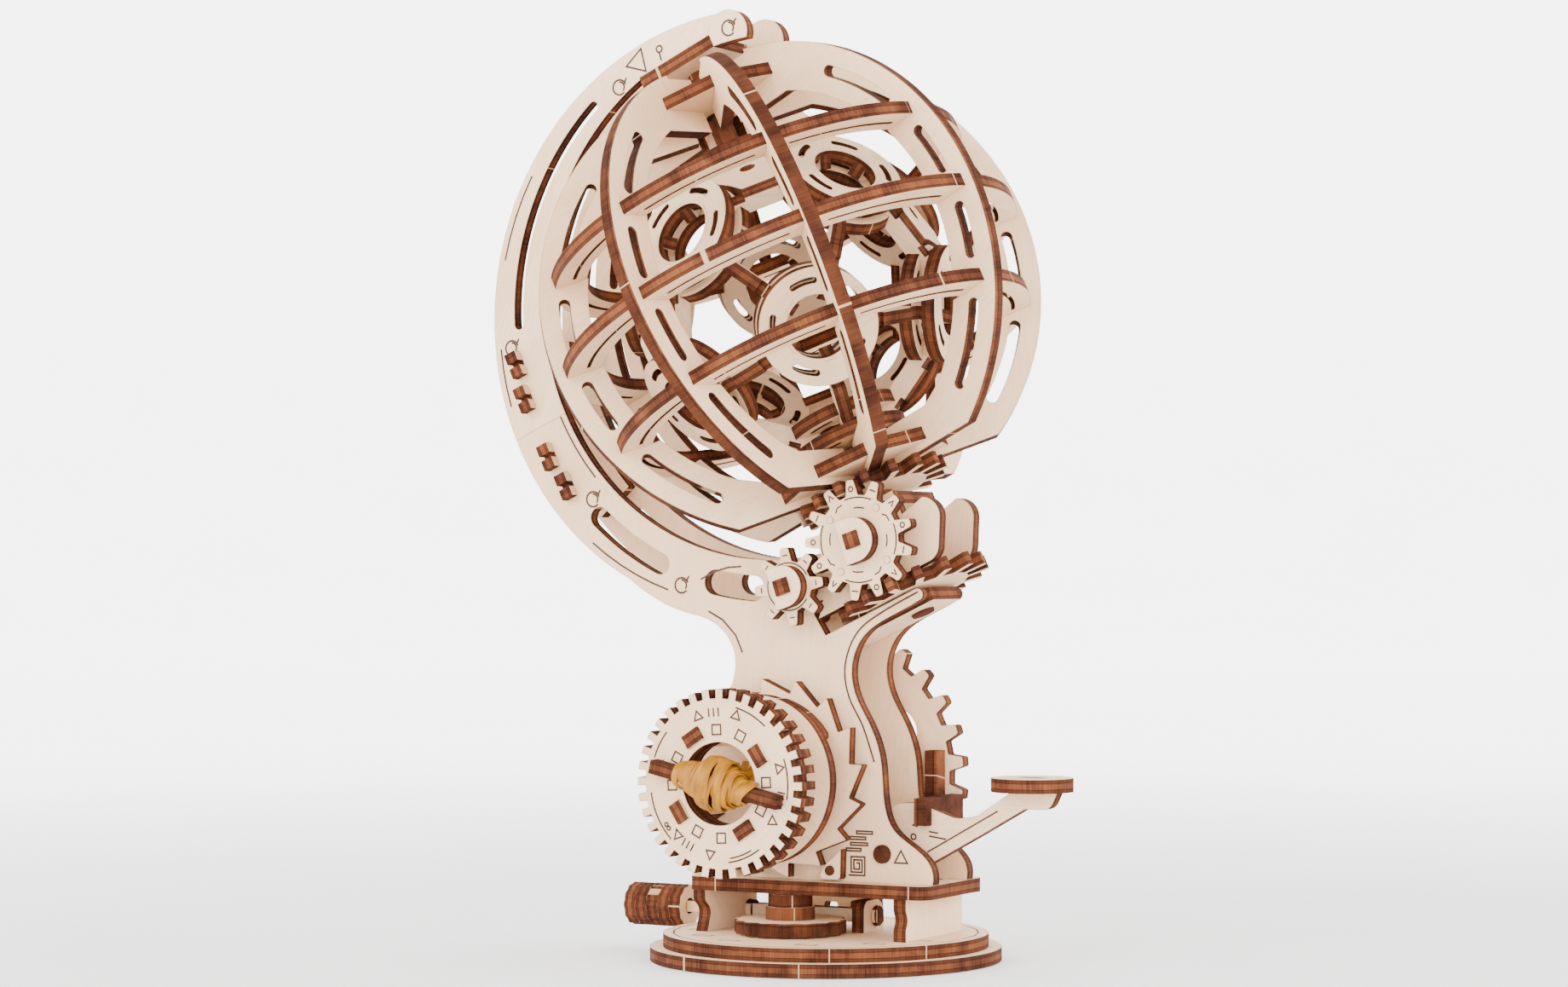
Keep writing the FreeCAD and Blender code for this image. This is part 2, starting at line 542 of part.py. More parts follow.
# ---- start lever, between the frames ----
lever = soft([(19.6, 27.2, 5), (31, 27, 5), (52.2, 38.6, 0), (66.5, 46.7, 2), (74.5, 46.7, 3.5), (77, PAD_Z, 0.5),
              (62.5, PAD_Z, 2), (51, 44.2, 6), (44.5, 43.2, 8), (31.5, 47.6, 4), (23.4, 47, 4), (19.6, 36, 6)], 0, T)
lever = lever.cut(cyl(2.7 + RUN, -1, T + 1, 26.0, 33.0))
# brake strip across the lever, with the block that bears on the rear gear
brake = fused([box(32.3, 36.3, -5.5, BIG_Y - 0.4, 41.0, 49.0), box(26.2, 32.3, FRAME_OUT + 0.4, BIG_Y - 0.4, 44.0, 48.0),
               box(26.2, 30.2, FRAME_OUT + 0.4, BIG_Y - 0.4, 44.0, 62.0)])
pad = cyl(12.0, PAD_Z, PAD_Z + T, 68.0, 0.0)
stub = box(64, 72, -2, 2, PAD_Z - 1, PAD_Z + T)
lever_sheet = upright(lever, T / 2).cut(brake)
node("lever_plate", lever_sheet.fuse(stub).removeSplitter())
node("lever_pad", pad.cut(stub))
node("lever_brake", brake)

# ---- globe cage, in its own frame ----
ring_mid_eq, ring_mid_lat = 67.0, 61.0


def meridian_sheet():
    """Half meridian drawn in (radius, height)."""
    band = sector(MER_R, MER_IN, -90, 90, -T / 2, T / 2)
    keep = slab([(-1, ARM_LOW), (90, ARM_LOW), (90, 90), (-1, 90)], -T, T)
    body = band.common(keep)
    low_arm = slab([(8.6, ARM_LOW), (37.5, ARM_LOW), (38, -48), (30, -52), (8.6, -52)], -T / 2, T / 2)
    top_arm = slab([(8.6, 54), (30, 54), (38, 49), (40, 63), (19, 73), (8.6, ARM_TOP)], -T / 2, T / 2)
    outer = cyl(MER_R, -T, T)
    body = body.fuse([low_arm, top_arm]).common(outer)
    body = body.cut(slab([(-1, ARM_TOP), (19.5, ARM_TOP), (19.5, 90), (-1, 90)], -T, T))
    body = body.cut(slab([(-1, -90), (8.6, -90), (8.6, 90), (-1, 90)], -T, T))
    # long slots between the rings
    for a0, a1 in ((5.5, 17.0), (-17.0, -5.5), (30.0, 49.0), (-49.5, -29.5)):
        body = body.cut(arc_slot(68.2, 3.4, a0, a1, -T, T))
    # half-lap notches for the rings and the pole plates
    body = body.cut(box(50, ring_mid_eq, -T / 2, T / 2, -T, T))
    for h in (LAT_H, -LAT_H):
        body = body.cut(box(45, ring_mid_lat, h - T / 2, h + T / 2, -T, T))
    for h in (HUB_TOP, HUB_LOW):
        body = body.cut(box(0, 14.0, h, h + T, -T, T))
    return turned(body.removeSplitter(), X_AXIS, 90)


sheet = meridian_sheet()
for k in range(8):
    node("meridian_%d" % (k + 1), tilted(turned(sheet, Z_AXIS, MER_FIRST + 45 * k)))


def latitude(ro, ri, mid, h):
    ring = tube(ro, ri, h - T / 2, h + T / 2)
    for k in range(8):
        a = MER_FIRST + 45 * k
        ring = ring.cut(turned(box(mid, ro + 2, -T / 2, T / 2, h - T, h + T), Z_AXIS, a))
        ring = ring.cut(arc_slot(mid - 0.8, 1.2, a + 5.5, a + 39.5, h - T, h + T))
    return tilted(ring)


node("ring_equator", latitude(EQ_R, EQ_IN, ring_mid_eq, 0))
node("rings_small", latitude(LAT_R, LAT_IN, ring_mid_lat, LAT_H), latitude(LAT_R, LAT_IN, ring_mid_lat, -LAT_H))


def pole_plate(z0, bore):
    side = HUB_FLAT / cs(22.5)
    plate = slab([polar(side, MER_FIRST + 45 * k) for k in range(8)], z0, z0 + T)
    for k in range(8):
        plate = plate.cut(turned(box(14.0, 40, -T / 2, T / 2, z0 - 1, z0 + T + 1), Z_AXIS, MER_FIRST + 45 * k))
    return plate.cut(cyl(bore, z0 - 1, z0 + T + 1))


node("pole_plates", tilted(pole_plate(HUB_TOP, CORE_AXLE + RUN)), tilted(pole_plate(HUB_LOW, 5.5)))
pivot = fused([cyl(8.0, HUB_TOP + T + 3.0, HUB_TOP + 2 * T + 3.0), cyl(CORE_AXLE, 70, 82.5)])
spacer = tube(8.0, 5.0, HUB_TOP + T, HUB_TOP + T + 3.0)
node("globe_pivot_top", tilted(pivot.fuse(spacer).removeSplitter()))


def crown(mid, bore, start):
    flat = gear(N_CROWN, CROWN_TIP, CROWN_ROOT, 2.7, 2.3, mid - T / 2, mid + T / 2, start, 0.6, 0.4)
    return flat.cut(cyl(bore, mid - T, mid + T))


# the front gear has a gap towards the globe and, half a turn away, a tooth: the two crown wheels match
UP_START = -90.0 + 1.17
DOWN_START = -90.0 + 180.0 / N_CROWN - 1.17
node("crown_wheel_globe", tilted(crown(CROWN_UP, 5.5, UP_START)))
node("globe_sleeve", tilted(tube(5.5, CORE_AXLE + RUN, -77.5, HUB_LOW)))

# ---- core, in the globe's own frame ----
golden = math.degrees(math.acos(1 / math.sqrt(5)))
hubs = [(0.0, 0.0)]
hubs += [(golden, CORE_TURN + 36 + 72 * k) for k in range(5)]
hubs += [(180 - golden, CORE_TURN + 72 * k) for k in range(5)]
hubs += [(180.0, CORE_TURN)]


def direction(theta, phi):
    return V(sn(theta) * cs(phi), sn(theta) * sn(phi), cs(theta))


hub_dirs = [direction(*h) for h in hubs]


def place(shape, z_dir, x_hint):
    """Turn a part drawn about Z so that its Z is z_dir and its X leans to x_hint."""
    z = V(z_dir).normalize()
    y = z.cross(x_hint).normalize()
    x = y.cross(z)
    m = FreeCAD.Matrix(x.x, y.x, z.x, 0, x.y, y.y, z.y, 0, x.z, y.z, z.z, 0, 0, 0, 0, 1)
    out = shape.copy()
    out.Placement = FreeCAD.Placement(m).multiply(out.Placement)
    return out


edge_half = golden / 2
edge_bar = box(-17, 17, -T / 2, T / 2, 41.0, 47.0)
edge_bar = edge_bar.cut([box(-9, -5.4, -3, 3, 45.6, 48), box(5.4, 9, -3, 3, 45.6, 48)])
pairs = [(i, j) for i in range(12) for j in range(i) if abs(hub_dirs[i].dot(hub_dirs[j]) - 1 / math.sqrt(5)) < 0.01]
bars_placed = [place(edge_bar, hub_dirs[i] + hub_dirs[j], hub_dirs[i] - hub_dirs[j]) for i, j in pairs]

# one hub ring is cut by its own five bars in the hub's frame, then copied to the twelve hubs
def hub_ring(z0, z1, slot_r):
    ring = tube(CORE_RING, CORE_EYE, z0, z1)
    mid_dir = direction(edge_half, 0)
    chord = V(mid_dir.z, 0, -mid_dir.x)
    for k in range(5):
        blank = box(-17, 17, -T / 2, T / 2, 41.0, 47.0)
        ring = ring.cut(turned(place(blank, mid_dir, chord), Z_AXIS, 72 * k))
        ring = ring.cut(arc_slot(slot_r, 1.8, 72 * k + 22, 72 * k + 50, z0 - 1, z1 + 1))
    return ring


outer_ring = hub_ring(CORE_R - T, CORE_R, 13.6)
inner_ring = hub_ring(CORE_R - 11, CORE_R - 7, 13.6)
outer_rings, inner_rings = [], []
for i, d in enumerate(hub_dirs):
    j = [b if a == i else a for a, b in pairs if i in (a, b)][0]
    outer_rings.append(place(outer_ring, d, hub_dirs[j]))
    inner_rings.append(place(inner_ring, d, hub_dirs[j]))

# face plates between three neighbouring hubs
faces = []
for i in range(12):
    for j in range(i):
        for k in range(j):
            near = [hub_dirs[a].dot(hub_dirs[b]) > 0.4 for a, b in ((i, j), (j, k), (i, k))]
            if all(near):
                faces.append((i, j, k))
face_flat = slab([polar(r, a + b) for a in (0, 120, 240) for r, b in ((11.8, -20), (11.8, 20), (16.4, 42), (16.4, 78))],
                 PLATE_IN, PLATE_IN + T).cut(cyl(2.4, 30, 50))
face_plates = []
i, j, k = faces[0]
first = place(face_flat, hub_dirs[i] + hub_dirs[j] + hub_dirs[k], hub_dirs[i])
blanks = []
for n, p in enumerate(pairs):
    if p[0] in faces[0] and p[1] in faces[0]:
        blanks.append(place(box(-17, 17, -T / 2, T / 2, 41.0, 47.0), hub_dirs[p[0]] + hub_dirs[p[1]],
                            hub_dirs[p[0]] - hub_dirs[p[1]]))
for cutter in blanks + [inner_rings[n] for n in faces[0]] + [outer_rings[n] for n in faces[0]]:
    first = first.cut(cutter)
wedge = [hub_dirs[i], hub_dirs[j], hub_dirs[k]]
# trim to the triangle's own share, a hair inside it, so that neighbouring plates stay separate
for a, b in ((0, 1), (1, 2), (2, 0)):
    normal = wedge[a].cross(wedge[b])
    other = wedge[3 - a - b]
    if normal.dot(other) > 0:
        normal = normal * -1
    half = place(box(-60, 60, -60, 60, -0.05, 60), normal, wedge[a])
    first = first.cut(half)
first = max(first.Solids, key=lambda s: s.Volume)
own = place(Part.makeBox(1, 1, 1), hub_dirs[i] + hub_dirs[j] + hub_dirs[k], hub_dirs[i]).Placement
# the belt of ten faces between two opposite hubs carries plates; the faces around those two hubs are open
OPEN_HUBS = (3, 6)
plated = [f for f in faces if not set(f) & set(OPEN_HUBS)]
for f in plated:
    p, q, r = f
    target = place(Part.makeBox(1, 1, 1), hub_dirs[p] + hub_dirs[q] + hub_dirs[r], hub_dirs[p]).Placement
    copy = first.copy()
    copy.Placement = target.multiply(own.inverse()).multiply(copy.Placement)
    face_plates.append(copy)

node("core_outer_rings", *[tilted(moved(s, z=-CORE_DROP)) for s in outer_rings])
node("core_inner_rings", *[tilted(moved(s, z=-CORE_DROP)) for s in inner_rings])
node("core_edge_bars", *[tilted(moved(s, z=-CORE_DROP)) for s in bars_placed])
node("core_face_plates", *[tilted(moved(s, z=-CORE_DROP)) for s in face_plates])
pole_discs = [tube(CORE_EYE, CORE_AXLE, CORE_R - T, CORE_R), tube(CORE_EYE, CORE_AXLE, -CORE_R, -CORE_R + T)]
for cutter in bars_placed:
    pole_discs = [d.cut(cutter) for d in pole_discs]
node("core_pole_discs", *[tilted(moved(s, z=-CORE_DROP)) for s in pole_discs])
node("core_axles", tilted(cyl(CORE_AXLE, CORE_R - T - CORE_DROP, 67.2)), tilted(cyl(CORE_AXLE, -106.0, -CORE_R + T - CORE_DROP)))
node("crown_wheel_core", tilted(crown(CROWN_DOWN, CORE_AXLE, DOWN_START)))

for name, shape in NODES.items():
    assert shape.isValid(), name
    shape.exportStep("parts/%s.step" % name)
    print(name, len(shape.Solids), round(shape.Volume, 1))
print(len(NODES), "nodes", S2X, S2Z)
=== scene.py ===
import bpy
import math
import random
import numpy as np
from mathutils import Matrix, Vector


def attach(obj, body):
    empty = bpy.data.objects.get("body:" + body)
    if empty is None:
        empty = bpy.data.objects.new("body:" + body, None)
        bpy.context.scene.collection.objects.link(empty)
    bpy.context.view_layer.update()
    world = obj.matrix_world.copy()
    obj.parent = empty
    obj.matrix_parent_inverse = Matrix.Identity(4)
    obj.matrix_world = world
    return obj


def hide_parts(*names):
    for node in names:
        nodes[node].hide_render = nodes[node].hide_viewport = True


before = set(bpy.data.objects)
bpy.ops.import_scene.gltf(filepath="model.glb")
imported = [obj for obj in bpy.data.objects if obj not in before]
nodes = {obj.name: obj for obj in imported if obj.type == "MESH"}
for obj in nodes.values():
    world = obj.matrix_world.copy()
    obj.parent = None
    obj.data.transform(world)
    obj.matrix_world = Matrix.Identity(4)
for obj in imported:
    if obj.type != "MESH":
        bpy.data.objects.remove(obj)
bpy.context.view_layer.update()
MM = 0.001
FRONT = -13.2                # outer face of the front frame
GLOBE = Vector((-12.0, 0.0, 199.0))
TILT = math.radians(25.0)
S1 = (-0.6, 111.1)
S2 = (GLOBE.x + 81.9 * math.sin(TILT), GLOBE.z - 81.9 * math.cos(TILT))
DRUM = (-8.0, 54.5)
rng = random.Random(7)


# ---------- camera ----------
cam_data = bpy.data.cameras.new("camera")
cam = bpy.data.objects.new("camera", cam_data)
bpy.context.scene.collection.objects.link(cam)
cam.location = (0.5110, -0.9455, 0.1183)
look = Vector((-0.4754, 0.8796, 0.0191))
cam.rotation_euler = look.to_track_quat("-Z", "Y").to_euler()
cam_data.sensor_width = 36.0
cam_data.lens = 82.43
cam_data.shift_x = -0.0267
cam_data.clip_start = 0.01
cam_data.clip_end = 50
bpy.context.scene.camera = cam


# ---------- node helpers ----------
class Tree:
    """Short helpers for building one material's nodes."""

    def __init__(self, name):
        self.mat = bpy.data.materials.new(name)
        self.mat.use_nodes = True
        self.t = self.mat.node_tree
        self.t.nodes.clear()
        self.out = self.t.nodes.new("ShaderNodeOutputMaterial")
        self.bsdf = self.t.nodes.new("ShaderNodeBsdfPrincipled")
        self.t.links.new(self.bsdf.outputs[0], self.out.inputs[0])

    def put(self, socket, value):
        if isinstance(value, bpy.types.NodeSocket):
            self.t.links.new(value, socket)
        else:
            socket.default_value = value

    def attr(self, name, out="Fac"):
        n = self.t.nodes.new("ShaderNodeAttribute")
        n.attribute_name = name
        return n.outputs[out]

    def math(self, op, a, b=0.0, c=0.0, clamp=False):
        n = self.t.nodes.new("ShaderNodeMath")
        n.operation = op
        n.use_clamp = clamp
        self.put(n.inputs[0], a)
        self.put(n.inputs[1], b)
        self.put(n.inputs[2], c)
        return n.outputs[0]

    def vec(self, op, a, b=(0, 0, 0)):
        n = self.t.nodes.new("ShaderNodeVectorMath")
        n.operation = op
        self.put(n.inputs[0], a)
        self.put(n.inputs[1], b)
        return n.outputs["Value"] if op in ("DOT_PRODUCT", "LENGTH") else n.outputs[0]

    def scaled(self, vector, scale):
        return self.vec("MULTIPLY", vector, scale)

    def noise(self, vector, scale=1.0, detail=3.0, rough=0.5, distort=0.0):
        n = self.t.nodes.new("ShaderNodeTexNoise")
        self.put(n.inputs["Vector"], vector)
        n.inputs["Scale"].default_value = scale
        n.inputs["Detail"].default_value = detail
        n.inputs["Roughness"].default_value = rough
        n.inputs["Distortion"].default_value = distort
        return n.outputs[0]

    def ramp(self, value, low, high, to_low=0.0, to_high=1.0):
        n = self.t.nodes.new("ShaderNodeMapRange")
        n.interpolation_type = "SMOOTHSTEP"
        self.put(n.inputs["Value"], value)
        n.inputs["From Min"].default_value = low
        n.inputs["From Max"].default_value = high
        n.inputs["To Min"].default_value = to_low
        n.inputs["To Max"].default_value = to_high
        return n.outputs[0]

    def mix(self, fac, a, b, mode="MIX"):
        n = self.t.nodes.new("ShaderNodeMix")
        n.data_type = "RGBA"
        n.blend_type = mode
        self.put(n.inputs[0], fac)
        for socket, value in ((n.inputs[6], a), (n.inputs[7], b)):
            if isinstance(value, tuple):
                value = (*value, 1.0) if len(value) == 3 else value
            self.put(socket, value)
        return n.outputs[2]

    def bump(self, height, strength, distance):
        n = self.t.nodes.new("ShaderNodeBump")
        n.inputs["Strength"].default_value = strength
        n.inputs["Distance"].default_value = distance
        self.put(n.inputs["Height"], height)
        return n.outputs[0]


def ply_material(name, pale, edge_light, edge_dark):
    """Birch plywood: pale grained faces, and laser-cut edges that show the scorched plies."""
    m = Tree(name)
    uvw = m.attr("ply", "Vector")
    layer = m.attr("layer")
    cut = m.attr("cut")
    tone = m.attr("tone")
    # faces: long fine grain, broad growth bands, short pores
    grain = m.noise(m.scaled(uvw, (90.0, 2600.0, 40.0)), 1.0, 4.0, 0.6, 0.3)
    bands = m.noise(m.scaled(uvw, (14.0, 210.0, 20.0)), 1.0, 3.0, 0.55, 0.8)
    pores = m.noise(m.scaled(uvw, (420.0, 5200.0, 60.0)), 1.0, 2.0, 0.5, 0.0)
    cloud = m.noise(m.scaled(uvw, (45.0, 60.0, 20.0)), 1.0, 3.0, 0.6, 0.0)
    def tinted(scale):
        return tuple(c * k for c, k in zip(pale, scale))

    warm = tinted((0.90, 0.80, 0.72))
    cool = tuple(min(1.0, c * k) for c, k in zip(pale, (1.04, 1.05, 1.07)))
    face = m.mix(m.ramp(bands, 0.35, 0.70), cool, pale)
    face = m.mix(m.ramp(cloud, 0.40, 0.74, 0.0, 0.75), face, warm)
    face = m.mix(m.ramp(grain, 0.42, 0.70, 0.0, 0.48), face, tinted((0.80, 0.68, 0.58)))
    face = m.mix(m.ramp(pores, 0.62, 0.74, 0.0, 0.52), face, tinted((0.60, 0.45, 0.34)))
    face = m.mix(m.math("MULTIPLY", tone, 0.5), face, warm)
    # scorched halo beside every cut
    bev = m.t.nodes.new("ShaderNodeBevel")
    bev.samples = 4
    bev.inputs["Radius"].default_value = 0.00055
    geo = m.t.nodes.new("ShaderNodeNewGeometry")
    turn = m.math("SUBTRACT", 1.0, m.vec("DOT_PRODUCT", bev.outputs[0], geo.outputs["Normal"]))
    halo = m.ramp(turn, 0.01, 0.20, 0.0, 0.88)
    face = m.mix(halo, face, (0.20, 0.085, 0.045))
    # edges: dark outer plies, lighter middle ply, striations, tab marks
    depth = m.math("ABSOLUTE", layer)
    streak = m.noise(m.scaled(uvw, (2300.0, 2300.0, 90.0)), 1.0, 3.0, 0.6, 0.0)
    patch = m.noise(m.scaled(uvw, (85.0, 85.0, 60.0)), 1.0, 3.0, 0.6, 0.4)
    waver = m.math("MULTIPLY_ADD", m.noise(m.scaled(uvw, (260.0, 260.0, 260.0)), 1.0, 2.0, 0.5, 0.0),
                   0.16, depth)
    middle = m.ramp(waver, 0.40, 0.56, 1.0, 0.0)
    shade = m.math("MULTIPLY_ADD", m.ramp(streak, 0.30, 0.72), 0.45,
                   m.math("MULTIPLY", m.ramp(patch, 0.32, 0.68), 0.75))
    inner = m.mix(m.math("MULTIPLY", shade, 0.85, 0.0, True), edge_dark, edge_light)
    outer = m.mix(m.math("MULTIPLY", shade, 0.40, 0.0, True), tuple(c * 0.62 for c in edge_dark), edge_light)
    edge = m.mix(middle, outer, inner)
    glue = m.math("MULTIPLY", m.ramp(waver, 0.44, 0.49), m.ramp(waver, 0.53, 0.60, 1.0, 0.0))
    edge = m.mix(m.math("MULTIPLY", glue, 0.6), edge, tuple(c * 0.3 for c in edge_dark))
    wave = m.vec("DOT_PRODUCT", uvw, (31.0, 19.0, 0.0))
    phase = m.math("FRACT", m.math("ADD", wave, m.math("MULTIPLY", tone, 7.3)))
    tick = m.math("ABSOLUTE", m.math("SUBTRACT", phase, 0.5))
    tab = m.math("MULTIPLY", m.ramp(tick, 0.004, 0.008, 1.0, 0.0),
                 m.ramp(m.noise(m.scaled(uvw, (55.0, 55.0, 0.0)), 1.0, 0.0, 0.5, 0.0), 0.50, 0.53))
    edge = m.mix(m.math("MULTIPLY", tab, 0.8), edge, (0.60, 0.38, 0.22))
    colour = m.mix(cut, face, edge)
    m.put(m.bsdf.inputs["Base Color"], colour)
    rough = m.math("MULTIPLY_ADD", cut, 0.14, m.math("MULTIPLY_ADD", grain, 0.16, 0.60))
    m.put(m.bsdf.inputs["Roughness"], rough)
    m.bsdf.inputs["IOR"].default_value = 1.42
    m.put(m.bsdf.inputs["Specular IOR Level"], m.math("MULTIPLY_ADD", cut, -0.17, 0.22))
    relief = m.math("ADD", m.math("MULTIPLY", grain, 0.5),
                    m.math("MULTIPLY", m.math("MULTIPLY", cut, streak), 1.6))
    m.put(m.bsdf.inputs["Normal"], m.bump(relief, 0.35, 0.00006))
    return m.mat


PALE = (0.76, 0.545, 0.352)
EDGE_LIGHT = (0.185, 0.060, 0.024)
EDGE_DARK = (0.038, 0.012, 0.008)
PLY = ply_material("birch_ply", PALE, EDGE_LIGHT, EDGE_DARK)
PLY_ROD = ply_material("birch_ply_bars", (0.22, 0.085, 0.038), EDGE_LIGHT, EDGE_DARK)


def ink_material():
    m = Tree("laser_engraving")
    coord = m.t.nodes.new("ShaderNodeTexCoord")
    soot = m.noise(m.scaled(coord.outputs["Object"], (900.0, 900.0, 900.0)), 1.0, 3.0, 0.6, 0.0)
    colour = m.mix(m.ramp(soot, 0.35, 0.70), (0.028, 0.010, 0.005), (0.085, 0.030, 0.013))
    m.put(m.bsdf.inputs["Base Color"], colour)
    m.put(m.bsdf.inputs["Roughness"], m.ramp(soot, 0.2, 0.8, 0.70, 0.90))
    m.put(m.bsdf.inputs["Normal"], m.bump(soot, 0.3, 0.00005))
    return m.mat


INK = ink_material()


def latex_material():
    m = Tree("latex_bands")
    along = m.attr("band", "Vector")
    tone = m.attr("tone")
    ribs = m.noise(m.scaled(along, (50.0, 2400.0, 0.0)), 1.0, 3.0, 0.6, 0.0)
    stain = m.noise(m.scaled(along, (160.0, 320.0, 1.0)), 1.0, 3.0, 0.6, 0.3)
    colour = m.mix(m.ramp(stain, 0.30, 0.72), (0.20, 0.072, 0.0005), (0.38, 0.150, 0.001))
    colour = m.mix(m.math("MULTIPLY", tone, 0.30), colour, (0.40, 0.17, 0.004))
    colour = m.mix(m.ramp(ribs, 0.48, 0.74, 0.0, 0.60), colour, (0.10, 0.026, 0.001))
    m.put(m.bsdf.inputs["Base Color"], colour)
    m.put(m.bsdf.inputs["Roughness"], m.ramp(ribs, 0.2, 0.8, 0.42, 0.60))
    m.bsdf.inputs["Specular IOR Level"].default_value = 0.25
    m.bsdf.inputs["Subsurface Weight"].default_value = 0.04
    m.bsdf.inputs["Subsurface Scale"].default_value = 0.0012
    m.bsdf.inputs["Subsurface Radius"].default_value = (1.0, 0.5, 0.15)
    m.put(m.bsdf.inputs["Normal"], m.bump(ribs, 0.4, 0.0001))
    return m.mat


LATEX = latex_material()


# ---------- sheet attributes ----------
def solids_of(mesh):
    """A label per vertex for the separate solids of a mesh, joined by place."""
    count = len(mesh.vertices)
    co = np.empty(count * 3)
    mesh.vertices.foreach_get("co", co)
    co = co.reshape(-1, 3)
    _, same = np.unique(np.round(co * 2e6).astype(np.int64), axis=0, return_inverse=True)
    same = same.reshape(-1)
    edges = np.empty(len(mesh.edges) * 2, dtype=np.int32)
    mesh.edges.foreach_get("vertices", edges)
    edges = same[edges].reshape(-1, 2)
    label = np.arange(same.max() + 1)
    while True:
        low = np.minimum(label[edges[:, 0]], label[edges[:, 1]])
        fresh = label.copy()
        np.minimum.at(fresh, edges[:, 0], low)
        np.minimum.at(fresh, edges[:, 1], low)
        fresh = fresh[fresh]
        if (fresh == label).all():
            return co, label[same]
        label = fresh


def store(mesh, name, kind, domain, values):
    layer = mesh.attributes.new(name, kind, domain)
    field = "vector" if kind == "FLOAT_VECTOR" else "value"
    layer.data.foreach_set(field, np.ascontiguousarray(values).ravel())


def sheet_attributes(obj, all_cut=False, grain=None):
    """Works out each solid's sheet plane and writes grain place, ply depth and cut faces to the mesh."""
    mesh = obj.data
    co, label = solids_of(mesh)
    faces = len(mesh.polygons)
    normal = np.empty(faces * 3)
    area = np.empty(faces)
    first = np.empty(faces, dtype=np.int32)
    mesh.polygons.foreach_get("normal", normal)
    mesh.polygons.foreach_get("area", area)
    mesh.polygons.foreach_get("loop_start", first)
    corners = np.empty(len(mesh.loops), dtype=np.int32)
    mesh.loops.foreach_get("vertex_index", corners)
    normal = normal.reshape(-1, 3)
    owner = label[corners[first]]
    uvw = np.zeros((len(co), 3))
    depth = np.zeros(len(co))
    tone = np.zeros(len(co))
    cut = np.zeros(faces)
    for piece in np.unique(owner):
        mine = owner == piece
        verts = label == piece
        n, a = normal[mine], area[mine]
        level = np.where(np.abs(n[:, 1]) > 0.02, np.sign(n[:, 1]), np.sign(n[:, 0]))
        sign = np.where(np.abs(n[:, 2]) > 0.02, np.sign(n[:, 2]), level)
        flat = np.round(n * sign[:, None], 2)
        kinds, which = np.unique(flat, axis=0, return_inverse=True)
        total = np.bincount(which.reshape(-1), weights=a)
        up = Vector(kinds[int(total.argmax())]).normalized()
        up_np = np.array(up)
        centre = (co[verts].min(axis=0) + co[verts].max(axis=0)) / 2
        local = co[verts] - centre
        if grain is not None:
            along = Vector(grain) - up * up.dot(Vector(grain))
        else:
            spin = rng.choice((0.0, 0.5, 1.0)) * math.pi / 2 + rng.uniform(-0.12, 0.12)
            along = up.orthogonal().normalized()
            along.rotate(Matrix.Rotation(spin, 3, up))
        along.normalize()
        side = np.array(up.cross(along))
        along = np.array(along)
        w = local @ up_np
        half = max(float(w.max()), -float(w.min()), 1e-6)
        shift = (rng.uniform(0, 3), rng.uniform(0, 3), rng.uniform(0, 1))
        uvw[verts] = np.stack([local @ along + shift[0], local @ side + shift[1], w + shift[2]], axis=1)
        depth[verts] = w / half
        tone[verts] = rng.random()
        cut[mine] = 1.0 if all_cut else (np.abs(n @ up_np) < 0.8)
    store(mesh, "ply", "FLOAT_VECTOR", "POINT", uvw)
    store(mesh, "layer", "FLOAT", "POINT", depth)
    store(mesh, "tone", "FLOAT", "POINT", tone)
    store(mesh, "cut", "FLOAT", "FACE", cut)


RODS = ("dowels_and_pins", "main_axle", "shaft_1", "shaft_2", "core_axles", "cross_bar", "lever_brake")
GRAIN = {
    "frame_front_upper": (0.35, 0, 1), "frame_front_lower": (0.1, 0, 1), "frame_back_upper": (0.3, 0, 1),
    "frame_back_lower": (0.1, 0, 1), "base_disc_lower": (1, 0.2, 0), "base_disc_upper": (1, -0.1, 0),
    "deck": (1, 0, 0),
}
for name, obj in nodes.items():
    obj.data.materials.clear()
    obj.data.materials.append(PLY_ROD if name in RODS else PLY)
    if name != "rubber_bands":
        sheet_attributes(obj, all_cut=name in RODS, grain=GRAIN.get(name))


# ---------- engraved lines ----------
def on_front(y=FRONT):
    """Places a drawn point (x, z) on an upright sheet's face, a hair proud of it."""
    lift = -0.03 if y < 0 else 0.03
    return lambda a, b: Vector((a, y + lift, b))


def on_level(z, up=True):
    return lambda a, b: Vector((a, b, z + (0.03 if up else -0.03)))


def about(cx, cz, r, deg):
    return (cx + r * math.cos(math.radians(deg)), cz + r * math.sin(math.radians(deg)))


def arc(cx, cz, r, a0, a1, step=4.0):
    count = max(2, int(abs(a1 - a0) / step) + 1)
    return [about(cx, cz, r, a0 + (a1 - a0) * i / (count - 1)) for i in range(count)]


def ring(cx, cz, r):
    return arc(cx, cz, r, 0, 360, 12)


def shape(cx, cz, size, sides, turn=0.0, opened=False):
    """A small geometric mark: a regular outline, open on one side if wanted."""
    pts = [about(cx, cz, size, turn + 360.0 * i / sides) for i in range(sides + 1)]
    return pts[:-1] if opened else pts


